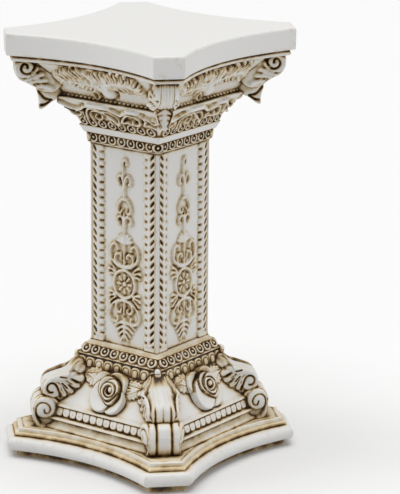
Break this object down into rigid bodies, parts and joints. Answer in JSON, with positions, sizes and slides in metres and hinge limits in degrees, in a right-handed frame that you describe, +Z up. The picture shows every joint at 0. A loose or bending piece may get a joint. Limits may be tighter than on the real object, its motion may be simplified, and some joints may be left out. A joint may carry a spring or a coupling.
{
  "type": "pedestal column",
  "caption": "Square pedestal column with a hollow-sided plinth and slab, corner scrolls, acanthus leaves, a rose on each side and carved shaft panels.",
  "frame": {"origin": "centre of the underside of the foot, where the column stands", "axes": "+Z up along the shaft, +X and +Y square to two adjoining sides"},
  "size_m": [0.1656, 0.1656, 0.3],
  "materials": {
    "aged_white_resin": "matt off-white resin with a brown wash left in the hollows of the carving"
  },
  "bodies": {
    "root": {"column": "aged_white_resin"}
  },
  "joints": []
}
